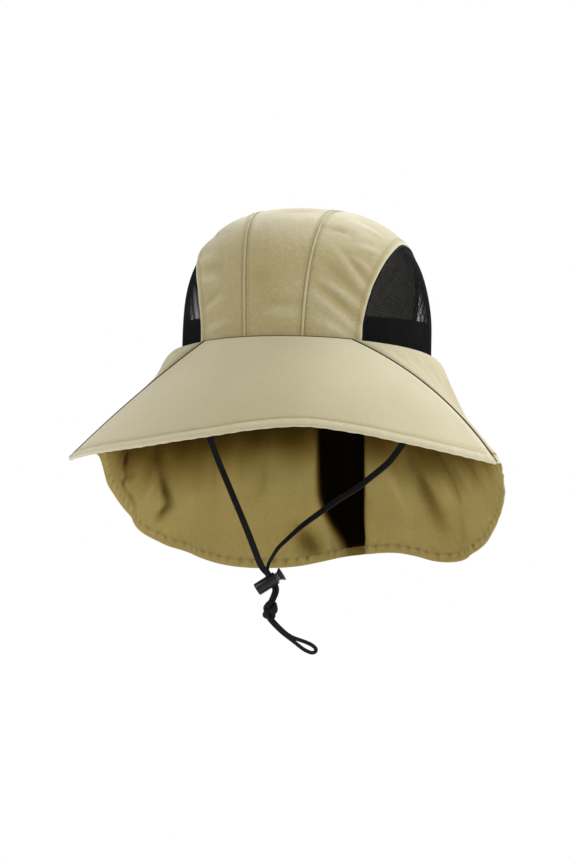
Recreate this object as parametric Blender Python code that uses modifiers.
"""
Legionnaire cap: a soft sun cap with a stiffened brim, net windows, a neck
cape and a chin cord that carries a sprung cord lock.

Metres, +Z up. The origin is the middle of the head opening, at the height of
the seam that joins the crown to the brim and the cape. The front is at -Y
and the wearer's left at +X. Angles run round the cap from its front, through
+X, and are in degrees where a name ends in DEG.
"""

import math
from collections import namedtuple

import bmesh
import bpy
from mathutils import Matrix, Vector

# Running gap between neighbouring pieces
GAP = 0.0003

# Head opening inside the sweatband, for a head of 58 cm
HEAD_WIDTH = 0.165
HEAD_LENGTH = 0.203

# Sweatband, higher behind than in front
BAND_WALL = 0.0012
BAND_STANDOFF = 0.0006
BAND_FRONT_HEIGHT = 0.015
BAND_BACK_HEIGHT = 0.033

# Crown of cloth panels
CROWN_HEIGHT = 0.100
CROWN_FULLNESS = 2.95
CROWN_WALL = 0.0015
CROWN_SEAM_DEPTH = 0.003
CENTRE_FOOT_WIDTH = 0.038
CENTRE_TOP_WIDTH = 0.056

# Net windows in the crown's sides
NET_WALL = 0.0010
WINDOW_CENTRE_DEG = 87.5
WINDOW_HALF_SPAN_DEG = 48.9
WINDOW_FULLNESS = 2.1
CLOTH_OVER_WINDOW = 0.023

# Brim: its share of the seam, its corners, and how far it stands out and falls
BRIM_WALL = 0.0025
BRIM_FOOT_DEG = 34.0
BRIM_CORNER_DEG = 60.6
BRIM_REACH = 0.060
BRIM_DROP = 0.067
BRIM_ARCH = 0.0086

# Piping between the brim's sides and the cape
BINDING_DIAMETER = 0.0018

# Neck cape
CAPE_WALL = 0.0012
CAPE_REACH = 0.054
CAPE_DROP = 0.136
CAPE_ARCH = 0.003
CAPE_PUFF = 0.0065

# Deep pleat down the middle of the cape, and its shallow folds
PLEAT_DEG = 181.0
PLEAT_LEAN_DEG = -2.0
PLEAT_DEPTH = 0.024
PLEAT_TOP_WIDTH = 0.046
PLEAT_HEM_WIDTH = 0.028
PLEAT_HEM_LIFT = 0.002
FOLD_DEPTH = 0.010
FOLD_WIDTH = 0.040

# Level strip beside the seam, where brim and cape are sewn on
SEAM_LEDGE = 0.0025

# Chin cord, a soft flat lace drawn as round tubes
STRAND_DIAMETER = 0.0036
TAIL_DIAMETER = 0.0044
LOOP_DIAMETER = 0.0022
KNOT_WIDTH = 0.0100
KNOT_DEPTH = 0.0090
KNOT_LENGTH = 0.0130

# Cord lock; its holes lie in line with each other when the button is pressed
LOCK_CENTRE = Vector((-0.0241, -0.0045, -0.1550))
LOCK_TILT_DEG = 33.3
LOCK_TURN_DEG = 9.0
LOCK_DIAMETER = 0.0088
LOCK_LENGTH = 0.0160
LOCK_EDGE = 0.0006
LOCK_HOLE_DIAMETER = 0.0046
LOCK_HOLE_OFFSET = 0.0042
BUTTON_HEAD_DIAMETER = 0.0094
BUTTON_HEAD_LENGTH = 0.0026
BUTTON_STEM_DIAMETER = 0.0060
BUTTON_HOLE_DIAMETER = 0.0036
BUTTON_TRAVEL = 0.0020
BUTTON_STOP_GAP = 0.0005
BUTTON_FLOOR_GAP = 0.0010
LOCK_FLOOR = 0.0016

# Mesh density
CENTRE_COLUMNS = 6
SIDE_COLUMNS = 7
CROWN_ROWS = 20
NET_COLUMNS = 16
NET_ROWS = 8
BAND_COLUMNS = 44
BAND_ROWS = 2
BRIM_COLUMNS = 28
SKIRT_ROWS = 11
CAPE_STEP_DEG = 5.0
PLEAT_STEP_DEG = 1.7

# The brim's outer edge: reach, drop and the arch from seam to edge, as shares
# of BRIM_REACH, BRIM_DROP and BRIM_ARCH; the edge is highest a little to the
# wearer's left of the middle
BrimRow = namedtuple("BrimRow", "angle reach drop arch")
BRIM_EDGE = (
    BrimRow(-60.6, 1.236, 1.130, 0.25),
    BrimRow(-45.0, 1.150, 1.120, 0.32),
    BrimRow(-30.0, 1.060, 1.100, 0.35),
    BrimRow(-15.0, 1.012, 1.052, 0.35),
    BrimRow(0.0, 1.000, 0.972, 0.35),
    BrimRow(12.0, 1.011, 0.930, 0.38),
    BrimRow(22.0, 1.040, 0.969, 0.45),
    BrimRow(35.0, 1.100, 1.047, 0.60),
    BrimRow(48.0, 1.171, 1.117, 0.80),
    BrimRow(60.6, 1.236, 1.166, 1.00),
)

# The cape's hem from the left corner of the brim round the back: reach, drop,
# the puff beside the seam and the arch further down, as shares of CAPE_REACH,
# CAPE_DROP, CAPE_PUFF and CAPE_ARCH
HemRow = namedtuple("HemRow", "angle reach drop puff arch")
HEM = (
    HemRow(75.0, 1.083, 0.559, 0.5, 1.4),
    HemRow(90.0, 0.949, 0.602, 0.6, 0.3),
    HemRow(105.0, 0.948, 0.670, 0.5, 0.2),
    HemRow(120.0, 1.024, 0.752, 0.3, 0.6),
    HemRow(135.0, 1.079, 0.902, 0.3, 1.0),
    HemRow(150.0, 1.014, 0.969, 0.3, 1.0),
    HemRow(165.0, 0.924, 0.918, 0.3, 1.0),
    HemRow(180.0, 0.844, 0.941, 0.3, 1.0),
    HemRow(195.0, 0.900, 1.001, 0.3, 1.0),
    HemRow(210.0, 0.955, 1.012, 0.4, 1.0),
    HemRow(225.0, 0.995, 0.965, 0.5, 1.0),
    HemRow(240.0, 0.964, 0.903, 0.7, 1.0),
    HemRow(255.0, 1.010, 0.792, 0.9, 1.0),
    HemRow(270.0, 1.005, 0.636, 0.8, 1.0),
    HemRow(285.0, 1.042, 0.504, 0.6, 0.6),
)

# Shallow folds of the cape: width and depth as shares of FOLD_WIDTH and
# FOLD_DEPTH, a negative depth pressing the cloth inwards
FoldRow = namedtuple("FoldRow", "angle width depth")
FOLDS = (
    FoldRow(147.0, 1.2, 0.7),
    FoldRow(216.0, 1.2, 0.5),
    FoldRow(231.0, 1.0, -0.6),
    FoldRow(247.0, 1.0, 0.5),
)

# Routes of the chin cord, from the seam down
LEFT_STRAND = (
    (0.0815, 0.0200, -0.0033),
    (0.0815, 0.0198, -0.0120),
    (0.0802, 0.0192, -0.0255),
    (0.0746, 0.0178, -0.0427),
    (0.0651, 0.0156, -0.0569),
    (0.0560, 0.0135, -0.0696),
    (0.0439, 0.0107, -0.0806),
    (0.0339, 0.0084, -0.0887),
    (0.0218, 0.0056, -0.0969),
    (0.0106, 0.0030, -0.1056),
    (-0.0004, 0.0005, -0.1143),
    (-0.0094, -0.0017, -0.1228),
    (-0.0167, -0.0031, -0.1303),
    (-0.0211, -0.0034, -0.1372),
    (-0.0238, -0.0028, -0.1425),
    (-0.0238, -0.0023, -0.1476),
)
RIGHT_STRAND = (
    (-0.0815, -0.0200, -0.0033),
    (-0.0812, -0.0200, -0.0110),
    (-0.0779, -0.0192, -0.0267),
    (-0.0713, -0.0174, -0.0421),
    (-0.0638, -0.0155, -0.0569),
    (-0.0579, -0.0140, -0.0715),
    (-0.0508, -0.0121, -0.0881),
    (-0.0423, -0.0099, -0.1078),
    (-0.0358, -0.0082, -0.1234),
    (-0.0315, -0.0074, -0.1342),
    (-0.0291, -0.0070, -0.1400),
    (-0.0266, -0.0065, -0.1444),
    (-0.0229, -0.0062, -0.1483),
)
TAIL = (
    (-0.0173, -0.0035, -0.1571),
    (-0.0169, -0.0039, -0.1598),
    (-0.0179, -0.0043, -0.1634),
    (-0.0197, -0.0044, -0.1661),
)
LOOP = (
    (-0.0186, -0.0044, -0.1785),
    (-0.0131, -0.0043, -0.1842),
    (-0.0069, -0.0043, -0.1891),
    (-0.0022, -0.0043, -0.1916),
    (0.0037, -0.0043, -0.1936),
    (0.0094, -0.0043, -0.1960),
    (0.0124, -0.0043, -0.1989),
    (0.0121, -0.0043, -0.2019),
    (0.0087, -0.0043, -0.2028),
    (0.0039, -0.0043, -0.2005),
    (-0.0010, -0.0043, -0.1970),
    (-0.0053, -0.0043, -0.1939),
    (-0.0082, -0.0043, -0.1914),
    (-0.0150, -0.0043, -0.1860),
    (-0.0206, -0.0043, -0.1799),
)
KNOT_CENTRE = Vector((-0.0211, -0.0044, -0.1729))
KNOT_TILT_DEG = 12.0

# Worked out from the sizes above
CROWN_HALF_WIDTH = HEAD_WIDTH / 2 + BAND_WALL + BAND_STANDOFF + CROWN_WALL
CROWN_HALF_LENGTH = HEAD_LENGTH / 2 + BAND_WALL + BAND_STANDOFF + CROWN_WALL
WINDOW_HEIGHT = CROWN_HEIGHT - CLOTH_OVER_WINDOW
CAPE_SPAN_DEG = 360.0 - 2 * BRIM_FOOT_DEG
HEM_SPAN_DEG = 360.0 - 2 * BRIM_CORNER_DEG


# Curves and tables

def smoothstep(value):
    """Ease from 0 to 1 between the values 0 and 1."""
    value = min(max(value, 0.0), 1.0)
    return value * value * (3.0 - 2.0 * value)


def read_table(rows, angle):
    """Read a table's row at an angle, on a smooth curve through its rows."""
    last = len(rows) - 1
    index = 0
    while index < last - 1 and rows[index + 1].angle < angle:
        index += 1
    near = rows[index]
    far = rows[index + 1]
    before = rows[max(index - 1, 0)]
    after = rows[min(index + 2, last)]
    step = far.angle - near.angle
    share = (angle - near.angle) / step
    values = []
    for a, b, c, d in zip(before, near, far, after):
        start = (c - a) / (far.angle - before.angle) * step
        end = (d - b) / (after.angle - near.angle) * step
        values.append(
            b * (2 * share**3 - 3 * share**2 + 1)
            + start * (share**3 - 2 * share**2 + share)
            + c * (3 * share**2 - 2 * share**3)
            + end * (share**3 - share**2)
        )
    return type(near)(*values)


def even_steps(point_at, count, samples=400):
    """Give count + 1 values from 0 to 1 that lie equally far apart on a curve."""
    points = [point_at(i / samples) for i in range(samples + 1)]
    walked = [0.0]
    for start, end in zip(points, points[1:]):
        walked.append(walked[-1] + (end - start).length)
    steps = []
    index = 0
    for number in range(count + 1):
        wanted = walked[-1] * number / count
        while index < samples - 1 and walked[index + 1] < wanted:
            index += 1
        share = (wanted - walked[index]) / (walked[index + 1] - walked[index])
        steps.append((index + share) / samples)
    return steps


def smooth_route(points, spacing):
    """Points about one spacing apart on a smooth curve through a route."""
    points = [Vector(point) for point in points]
    ends = [2 * points[0] - points[1]] + points + [2 * points[-1] - points[-2]]

    def point_at(share):
        place = share * (len(points) - 1)
        index = min(int(place), len(points) - 2)
        t = place - index
        a, b, c, d = ends[index:index + 4]
        return 0.5 * (
            2 * b + (c - a) * t
            + (2 * a - 5 * b + 4 * c - d) * t**2
            + (3 * b - 3 * c + d - a) * t**3
        )

    length = sum((b - a).length for a, b in zip(points, points[1:]))
    count = max(4, round(length / spacing))
    return [point_at(step) for step in even_steps(point_at, count)]


# Building blocks

def finish(name, colour, roughness):
    """A Principled material with the piece's plain colour."""
    material = bpy.data.materials.new(name)
    material.use_nodes = True
    shader = material.node_tree.nodes["Principled BSDF"]
    shader.inputs["Base Color"].default_value = (*colour, 1.0)
    shader.inputs["Roughness"].default_value = roughness
    shader.inputs["Metallic"].default_value = 0.0
    material.diffuse_color = (*colour, 1.0)
    return material


def collection(name):
    """A new collection in the scene."""
    made = bpy.data.collections.new(name)
    bpy.context.scene.collection.children.link(made)
    return made


def add_object(name, data, material, group):
    """Put mesh or curve data in the scene as a named object."""
    made = bpy.data.objects.new(name, data)
    if material:
        data.materials.append(material)
    group.objects.link(made)
    return made


def mesh_from(work, name):
    """Turn a bmesh into mesh data, shaded smooth but for its rims."""
    work.normal_update()
    bmesh.ops.recalc_face_normals(work, faces=work.faces)
    mesh = bpy.data.meshes.new(name)
    work.to_mesh(mesh)
    work.free()
    mesh.shade_smooth()
    mesh.set_sharp_from_angle(angle=math.radians(40))
    return mesh


def grid_faces(work, rows):
    """Fill a new grid of points with quads and give its vertices by row."""
    verts = [[work.verts.new(point) for point in row] for row in rows]
    for near, far in zip(verts, verts[1:]):
        for i in range(len(near) - 1):
            work.faces.new((near[i], near[i + 1], far[i + 1], far[i]))
    return verts


def cloth_panel(name, rows, wall, material, group, ring=False):
    """An open surface with its wall on the inner side, from Solidify."""
    work = bmesh.new()
    grid_faces(work, rows)
    if ring:
        bmesh.ops.remove_doubles(work, verts=work.verts, dist=GAP / 10)
    work.normal_update()
    outward = sum(face.normal.dot(face.calc_center_median()) * face.calc_area() for face in work.faces)
    if outward < 0:
        bmesh.ops.reverse_faces(work, faces=work.faces)
    mesh = bpy.data.meshes.new(name)
    work.to_mesh(mesh)
    work.free()
    mesh.shade_smooth()
    panel = add_object(name, mesh, material, group)
    solid = panel.modifiers.new("Wall", 'SOLIDIFY')
    solid.thickness = wall
    solid.offset = -1.0
    return panel


def closed_shell(name, outer, inner, material, group):
    """
    A wall between two grids of points of one size. Brim and cape meet along
    a bent ridge, where Solidify would turn their edges into each other.
    """
    work = bmesh.new()
    top = grid_faces(work, outer)
    under = grid_faces(work, inner)
    last_row = len(outer) - 1
    last_column = len(outer[0]) - 1
    border = [(0, i) for i in range(last_column)]
    border += [(j, last_column) for j in range(last_row)]
    border += [(last_row, i) for i in range(last_column, 0, -1)]
    border += [(j, 0) for j in range(last_row, 0, -1)]
    for here, there in zip(border, border[1:] + border[:1]):
        corners = (
            top[here[0]][here[1]],
            top[there[0]][there[1]],
            under[there[0]][there[1]],
            under[here[0]][here[1]],
        )
        work.faces.new(corners)
    return add_object(name, mesh_from(work, name), material, group)


def tube(name, points, diameter, material, group):
    """A round tube with flat ends along a list of points."""
    curve = bpy.data.curves.new(name, 'CURVE')
    curve.dimensions = '3D'
    curve.bevel_depth = diameter / 2
    curve.bevel_resolution = 2
    curve.use_fill_caps = True
    spline = curve.splines.new('POLY')
    spline.points.add(len(points) - 1)
    for slot, point in zip(spline.points, points):
        slot.co = (*point, 1.0)
    return add_object(name, curve, material, group)


# Crown

def crown_point(round_angle, rise_angle, inset=0.0):
    """
    A point on the crown's outside: the first angle runs round from the
    front, the second rises from 0 at the seam to a right angle at the top.
    Below the seam the crown goes straight down.
    """
    if rise_angle < 0:
        share = 1.0
        rise = rise_angle
    else:
        share = math.cos(rise_angle) ** (2 / CROWN_FULLNESS)
        rise = math.sin(rise_angle) ** (2 / CROWN_FULLNESS)
    return Vector((
        (CROWN_HALF_WIDTH - inset) * share * math.sin(round_angle),
        -(CROWN_HALF_LENGTH - inset) * share * math.cos(round_angle),
        CROWN_HEIGHT * rise,
    ))


def rise_at_height(height):
    """The crown's rise angle at a height above, or a depth below, the seam."""
    share = height / CROWN_HEIGHT
    if share < 0:
        return share
    return math.asin(share ** (CROWN_FULLNESS / 2))


def seam_angles(across, step):
    """
    The crown's two angles on a line from the front foot of the centre panel,
    over the top, to its back foot; across is -1 to 1 over its width.
    """
    turn = math.pi * step
    widening = (CENTRE_TOP_WIDTH - CENTRE_FOOT_WIDTH) / 2 * math.sin(turn)
    x = across * (CENTRE_FOOT_WIDTH / 2 + widening)
    side = x / CROWN_HALF_WIDTH
    front = math.sqrt(1 - side**2) * math.cos(turn)
    plan = min(math.hypot(side, front), 1.0)
    return math.atan2(side, front), math.acos(plan ** (CROWN_FULLNESS / 2))


def window_angles(side, step, clearance=0.0):
    """
    The crown's two angles on the arch of a net window, from its front foot
    to its back foot. A clearance moves the arch outwards into the cloth.
    """
    turn = math.pi * step
    half_span = math.radians(WINDOW_HALF_SPAN_DEG) + clearance / CROWN_HALF_WIDTH
    height = WINDOW_HEIGHT + clearance
    lean = math.copysign(abs(math.cos(turn)) ** (2 / WINDOW_FULLNESS), math.cos(turn))
    lift = abs(math.sin(turn)) ** (2 / WINDOW_FULLNESS)
    round_angle = math.radians(WINDOW_CENTRE_DEG) - half_span * lean
    return side * round_angle, rise_at_height(height * lift)


def crown_line(angles_at, count):
    """A line over the crown, evenly stepped, with its feet below the seam."""
    steps = even_steps(lambda step: crown_point(*angles_at(step)), count)
    line = [angles_at(step) for step in steps]
    foot = rise_at_height(-CROWN_SEAM_DEPTH)
    return [(line[0][0], foot), (line[0][0], 0.0)] + line[1:-1] + [
        (line[-1][0], 0.0), (line[-1][0], foot)]


def build_centre_panel(material, group):
    """The strip of cloth over the middle of the crown."""
    edge = 1.0 - GAP / CENTRE_FOOT_WIDTH
    lines = []
    for i in range(CENTRE_COLUMNS + 1):
        across = edge * (2 * i / CENTRE_COLUMNS - 1)
        lines.append(crown_line(lambda step: seam_angles(across, step), CROWN_ROWS))
    rows = [[crown_point(*angles) for angles in row] for row in zip(*lines)]
    return cloth_panel("crown_centre_panel", rows, CROWN_WALL, material, group)


def build_side_panel(side, label, material, group):
    """The cloth between the centre panel's seam and the window's arch."""
    edge = side * (1.0 + GAP / CENTRE_FOOT_WIDTH)
    seam = crown_line(lambda step: seam_angles(edge, step), CROWN_ROWS)
    arch = crown_line(lambda step: window_angles(side, step, GAP), CROWN_ROWS)
    rows = []
    for near, far in zip(seam, arch):
        row = []
        for i in range(SIDE_COLUMNS + 1):
            share = i / SIDE_COLUMNS
            row.append(crown_point(
                near[0] + (far[0] - near[0]) * share,
                near[1] + (far[1] - near[1]) * share,
            ))
        rows.append(row)
    return cloth_panel(f"crown_side_panel_{label}", rows, CROWN_WALL, material, group)


def build_net_panel(side, label, material, group):
    """The net in a window, from the seam up to the arch."""
    steps = even_steps(lambda step: crown_point(*window_angles(side, step)), NET_COLUMNS)
    arch = [window_angles(side, step) for step in steps]
    arch[0] = (arch[0][0], 0.0)
    arch[-1] = (arch[-1][0], 0.0)
    foot = rise_at_height(-CROWN_SEAM_DEPTH)
    rows = []
    for j in range(NET_ROWS + 1):
        share = j / NET_ROWS
        row = []
        for i, (round_angle, rise_angle) in enumerate(arch):
            below = arch[0][0] + (arch[-1][0] - arch[0][0]) * i / NET_COLUMNS
            row.append(crown_point(
                below + (round_angle - below) * share,
                foot + (rise_angle - foot) * share,
            ))
        rows.append(row)
    return cloth_panel(f"mesh_panel_{label}", rows, NET_WALL, material, group)


def build_sweatband(material, group):
    """The band inside the seam, its top edge rising towards the back."""
    inset = CROWN_WALL + BAND_STANDOFF
    rows = []
    for j in range(BAND_ROWS + 1):
        row = []
        for i in range(BAND_COLUMNS + 1):
            angle = math.tau * i / BAND_COLUMNS
            back = (1 - math.cos(angle)) / 2
            top = BAND_FRONT_HEIGHT + (BAND_BACK_HEIGHT - BAND_FRONT_HEIGHT) * back
            height = -CROWN_SEAM_DEPTH + (top + CROWN_SEAM_DEPTH) * j / BAND_ROWS
            row.append(crown_point(angle, rise_at_height(height), inset))
        rows.append(row)
    return cloth_panel("sweatband", rows, BAND_WALL, material, group, ring=True)


# Brim and cape, which share one set of sections round the seam

def outline_radius(angle):
    """Distance from the middle of the crown to the seam at a plan angle."""
    across = math.sin(angle) / CROWN_HALF_WIDTH
    along = math.cos(angle) / CROWN_HALF_LENGTH
    return 1 / math.hypot(across, along)


def hem_rows():
    """The hem's table in metres, closed by the brim's two corners."""
    corners = []
    for row in (BRIM_EDGE[-1], BRIM_EDGE[0]):
        corners.append(HemRow(
            row.angle % 360, row.reach * BRIM_REACH, row.drop * BRIM_DROP, 0.0, row.arch * BRIM_ARCH))
    middle = []
    for row in HEM:
        middle.append(HemRow(
            row.angle, row.reach * CAPE_REACH, row.drop * CAPE_DROP,
            row.puff * CAPE_PUFF, row.arch * CAPE_ARCH))
    return [corners[0]] + middle + [corners[1]]


HEM_ROWS = hem_rows()


def pleat_offset(edge_deg, radius, t):
    """How far the pleat throws the cloth out at a section's place t."""
    width = PLEAT_TOP_WIDTH + (PLEAT_HEM_WIDTH - PLEAT_TOP_WIDTH) * t
    middle = PLEAT_DEG + PLEAT_LEAN_DEG * t
    away = abs(math.radians(edge_deg - middle)) * radius / (width / 2)
    if away >= 1:
        return 0.0
    return PLEAT_DEPTH * (1 - away**3) ** 2 * smoothstep(t / 0.35)


def fold_offset(edge_deg, radius, t):
    """How far the shallow folds move the cloth out or in."""
    total = 0.0
    for fold in FOLDS:
        half = fold.width * FOLD_WIDTH / 2
        away = abs(math.radians(edge_deg - fold.angle)) * radius / half
        if away < 1:
            total += fold.depth * FOLD_DEPTH * (1 - away**2) ** 2 * smoothstep(t / 0.8)
    return total


def skirt_point(seam_deg, t):
    """
    A point on the outside of brim or cape: seam_deg is the section's place
    on the seam, t runs from 0 beside the seam to 1 at the outer edge.
    """
    seam_deg %= 360
    on_cape = BRIM_FOOT_DEG < seam_deg < 360 - BRIM_FOOT_DEG
    seam = math.radians(seam_deg)
    start = Vector((
        (CROWN_HALF_WIDTH + GAP + SEAM_LEDGE) * math.sin(seam),
        -(CROWN_HALF_LENGTH + GAP + SEAM_LEDGE) * math.cos(seam),
        0.0,
    ))
    if on_cape:
        edge_deg = BRIM_CORNER_DEG + (seam_deg - BRIM_FOOT_DEG) * HEM_SPAN_DEG / CAPE_SPAN_DEG
        row = read_table(HEM_ROWS, edge_deg)
        reach, drop, puff, arch = row.reach, row.drop, row.puff, row.arch
    else:
        signed = (seam_deg + 180) % 360 - 180
        edge_deg = signed * BRIM_CORNER_DEG / BRIM_FOOT_DEG
        row = read_table(BRIM_EDGE, edge_deg)
        reach, drop = row.reach * BRIM_REACH, row.drop * BRIM_DROP
        puff, arch = 0.0, row.arch * BRIM_ARCH
    edge = math.radians(edge_deg)
    outward = Vector((math.sin(edge), -math.cos(edge), 0.0))
    radius = outline_radius(edge) + reach
    end = outward * radius - Vector((0.0, 0.0, drop))
    chord = end - start
    level = Vector((chord.x, chord.y, 0.0))
    normal = (level.normalized() * -chord.z + Vector((0.0, 0.0, level.length))).normalized()
    near_seam = 25.0 * t * (1 - t) ** 10
    point = start + chord * t + normal * (arch * 4 * t * (1 - t) + puff * near_seam)
    if on_cape:
        here = math.hypot(point.x, point.y)
        point += outward * (pleat_offset(edge_deg, here, t) + fold_offset(edge_deg, here, t))
        lift = pleat_offset(edge_deg, here, 1.0) / PLEAT_DEPTH
        point.z += PLEAT_HEM_LIFT * lift * t
    return point


def skirt_frame(seam_deg, t):
    """
    The outward normal at a place, and the move along the seam or the edge
    that leads one unit clear of the section's own line.
    """
    turn = 0.4
    slide = 0.01
    along = skirt_point(seam_deg + turn, t) - skirt_point(seam_deg - turn, t)
    down = skirt_point(seam_deg, min(t + slide, 1)) - skirt_point(seam_deg, max(t - slide, 0))
    along.normalize()
    leaning = down.normalized().cross(along)
    return leaning.normalized(), along / leaning.length


def skirt_places():
    """Places down a section, closer together beside the seam."""
    return [(j / (SKIRT_ROWS - 1)) ** 1.4 for j in range(SKIRT_ROWS)]


def skirt_column(seam_deg, wall, shift=0.0):
    """
    One section of brim or cape, as its outer and inner points: a level strip
    beside the seam, then the slope. A shift moves it sideways.
    """
    up = Vector((0.0, 0.0, 1.0))
    outer = []
    inner = []
    for t in skirt_places():
        normal, aside = skirt_frame(seam_deg, t)
        if not outer:
            first = skirt_point(seam_deg, 0.0)
            seam = math.radians(seam_deg)
            ledge = Vector((math.sin(seam), -math.cos(seam), 0.0)) * SEAM_LEDGE
            outer.append(first - ledge + aside * shift)
            inner.append(first - ledge + aside * shift - up * wall)
            normal = (normal + up).normalized()
        point = skirt_point(seam_deg, t) + aside * shift
        outer.append(point)
        inner.append(point - normal * wall)
    return outer, inner


def skirt_shell(name, sections, wall, material, group):
    """Brim or cape, lofted through its sections; each is an angle and a shift."""
    columns = [skirt_column(seam_deg, wall, shift) for seam_deg, shift in sections]
    outer = [column[0] for column in columns]
    inner = [column[1] for column in columns]
    return closed_shell(name, outer, inner, material, group)


def build_brim(material, group):
    """The brim, between its two side edges."""
    edge_gap = BINDING_DIAMETER / 2 + GAP
    sections = [(-BRIM_FOOT_DEG, edge_gap)]
    for i in range(1, BRIM_COLUMNS):
        sections.append((BRIM_FOOT_DEG * (2 * i / BRIM_COLUMNS - 1), 0.0))
    sections.append((BRIM_FOOT_DEG, -edge_gap))
    return skirt_shell("brim", sections, BRIM_WALL, material, group)


def build_cape(material, group):
    """The cape's two panels and the deep pleat between them."""
    edge_gap = BINDING_DIAMETER / 2 + GAP
    pleat_seam = BRIM_FOOT_DEG + (PLEAT_DEG - BRIM_CORNER_DEG) * CAPE_SPAN_DEG / HEM_SPAN_DEG
    half_pleat = math.degrees(PLEAT_TOP_WIDTH / 2 / CROWN_HALF_LENGTH)
    stops = (BRIM_FOOT_DEG, pleat_seam - half_pleat, pleat_seam + half_pleat, 360 - BRIM_FOOT_DEG)
    gaps = (edge_gap, GAP / 2, GAP / 2, edge_gap)
    pieces = (("left", CAPE_STEP_DEG), ("pleat", PLEAT_STEP_DEG), ("right", CAPE_STEP_DEG))
    for index, (label, step) in enumerate(pieces):
        start, end = stops[index:index + 2]
        count = round((end - start) / step)
        sections = [(start + (end - start) * i / count, 0.0) for i in range(1, count)]
        sections.insert(0, (start, gaps[index]))
        sections.append((end, -gaps[index + 1]))
        skirt_shell(f"neck_cape_{label}", sections, CAPE_WALL, material, group)


def build_binding(side, label, material, group):
    """The piping in the joint between a side of the brim and the cape."""
    seam_deg = side * BRIM_FOOT_DEG
    points = []
    for t in skirt_places():
        normal = skirt_frame(seam_deg, t)[0]
        points.append(skirt_point(seam_deg, t) - normal * BINDING_DIAMETER / 2)
    return tube(f"brim_binding_{label}", points, BINDING_DIAMETER, material, group)


# Chin cord and cord lock

def cylinder(name, diameter, length, centre, material, group, sides=24):
    """A cylinder along the lock's axis, its centre measured from the lock's."""
    work = bmesh.new()
    bmesh.ops.create_cone(
        work, cap_ends=True, segments=sides, radius1=diameter / 2, radius2=diameter / 2, depth=length)
    bmesh.ops.translate(work, verts=work.verts, vec=(0.0, 0.0, centre))
    return place_on_lock(add_object(name, mesh_from(work, name), material, group))


def place_on_lock(piece):
    """Stand a piece on the lock's axis, which runs out through the button."""
    piece.location = LOCK_CENTRE
    piece.rotation_euler = (0.0, math.radians(90 - LOCK_TILT_DEG), math.radians(LOCK_TURN_DEG))
    return piece


def cross_bore(name, diameter, centre, group):
    """A cutter for the hole that the cord goes through, across the lock."""
    work = bmesh.new()
    bmesh.ops.create_cone(
        work, cap_ends=True, segments=16, radius1=diameter / 2, radius2=diameter / 2,
        depth=2 * LOCK_DIAMETER)
    bmesh.ops.rotate(work, verts=work.verts, matrix=Matrix.Rotation(math.radians(90), 3, 'Y'))
    bmesh.ops.translate(work, verts=work.verts, vec=(0.0, 0.0, centre))
    return place_on_lock(add_object(name, mesh_from(work, name), None, group))


def combine(piece, other, operation):
    """Cut one solid with another, or join them."""
    modifier = piece.modifiers.new(operation.title(), 'BOOLEAN')
    modifier.operation = operation
    modifier.object = other
    other.hide_render = True
    other.display_type = 'WIRE'


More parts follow.
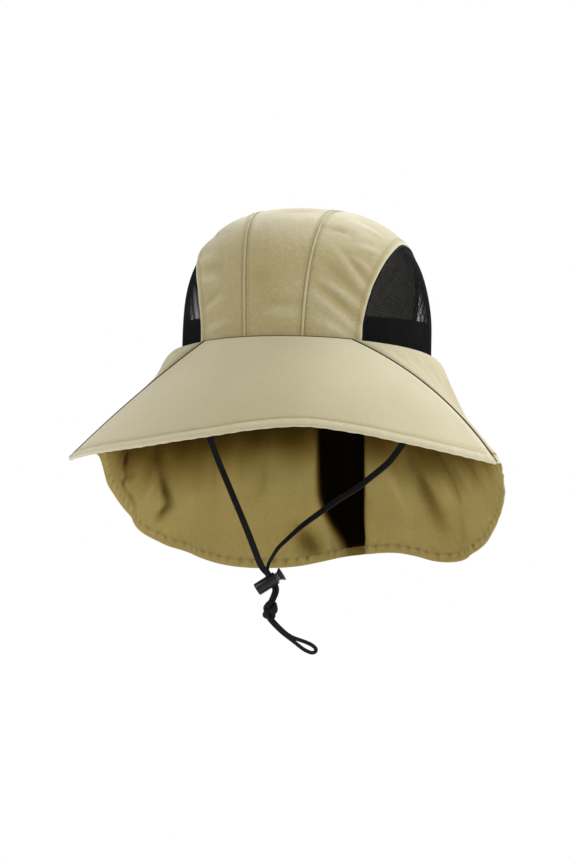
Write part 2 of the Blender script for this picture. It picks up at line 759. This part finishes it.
def build_lock(body_material, button_material, group, cutters):
    """The lock's barrel and the spring button that slides in it."""
    mouth = LOCK_LENGTH / 2
    bore_length = LOCK_LENGTH - LOCK_FLOOR
    bore_diameter = BUTTON_STEM_DIAMETER + 2 * GAP
    barrel = cylinder("cord_lock_body", LOCK_DIAMETER, LOCK_LENGTH, 0.0, body_material, group)
    rounding = barrel.modifiers.new("Rounding", 'BEVEL')
    rounding.width = LOCK_EDGE
    rounding.segments = 2
    rounding.limit_method = 'ANGLE'
    bore = cylinder("barrel_bore", bore_diameter, 2 * bore_length, mouth, None, cutters)
    combine(barrel, bore, 'DIFFERENCE')
    hole = cross_bore("barrel_hole", LOCK_HOLE_DIAMETER, LOCK_HOLE_OFFSET, cutters)
    combine(barrel, hole, 'DIFFERENCE')

    head_start = mouth + BUTTON_TRAVEL + BUTTON_STOP_GAP
    head_middle = head_start + BUTTON_HEAD_LENGTH / 2
    stem_tip = mouth - bore_length + BUTTON_TRAVEL + BUTTON_FLOOR_GAP
    button = cylinder(
        "cord_lock_button", BUTTON_HEAD_DIAMETER, BUTTON_HEAD_LENGTH, head_middle, button_material, group)
    rounding = button.modifiers.new("Rounding", 'BEVEL')
    rounding.width = LOCK_EDGE
    rounding.segments = 2
    rounding.limit_method = 'ANGLE'
    stem_length = head_middle - stem_tip
    stem = cylinder(
        "button_stem", BUTTON_STEM_DIAMETER, stem_length, stem_tip + stem_length / 2, None, cutters)
    combine(button, stem, 'UNION')
    hole = cross_bore("button_hole", BUTTON_HOLE_DIAMETER, LOCK_HOLE_OFFSET + BUTTON_TRAVEL, cutters)
    combine(button, hole, 'DIFFERENCE')


def build_knot(material, group):
    """The overhand knot's outer form."""
    work = bmesh.new()
    bmesh.ops.create_uvsphere(work, u_segments=14, v_segments=9, radius=0.5)
    bmesh.ops.scale(work, verts=work.verts, vec=(KNOT_WIDTH, KNOT_DEPTH, KNOT_LENGTH))
    knot = add_object("cord_knot", mesh_from(work, "cord_knot"), material, group)
    knot.location = KNOT_CENTRE
    knot.rotation_euler = (0.0, math.radians(KNOT_TILT_DEG), 0.0)
    return knot


def build_cords(material, group):
    """The cord's two strands, its doubled tail and its end loop."""
    routes = (
        ("chin_cord_left", LEFT_STRAND, STRAND_DIAMETER),
        ("chin_cord_right", RIGHT_STRAND, STRAND_DIAMETER),
        ("cord_tail", TAIL, TAIL_DIAMETER),
        ("cord_loop", LOOP, LOOP_DIAMETER),
    )
    for name, route, diameter in routes:
        tube(name, smooth_route(route, 2.2 * diameter), diameter, material, group)


def main():
    """Clear the scene and build the cap."""
    for old in list(bpy.data.objects):
        bpy.data.objects.remove(old, do_unlink=True)
    parts = collection("legionnaire_cap")
    cutters = collection("cutters")
    khaki = finish("khaki_cloth", (0.51, 0.46, 0.26), 0.85)
    brim_khaki = finish("brim_cloth", (0.58, 0.52, 0.33), 0.80)
    net = finish("black_net", (0.012, 0.012, 0.013), 0.7)
    band = finish("black_band", (0.015, 0.015, 0.016), 0.85)
    piping = finish("dark_piping", (0.045, 0.035, 0.015), 0.8)
    cord = finish("black_cord", (0.01, 0.01, 0.011), 0.8)
    plastic = finish("black_plastic", (0.012, 0.012, 0.013), 0.35)
    button = finish("black_button", (0.014, 0.014, 0.015), 0.4)

    build_centre_panel(khaki, parts)
    for side, label in ((1, "left"), (-1, "right")):
        build_side_panel(side, label, khaki, parts)
        build_net_panel(side, label, net, parts)
        build_binding(side, label, piping, parts)
    build_sweatband(band, parts)
    build_brim(brim_khaki, parts)
    build_cape(khaki, parts)
    build_cords(cord, parts)
    build_knot(cord, parts)
    build_lock(plastic, button, parts, cutters)


main()
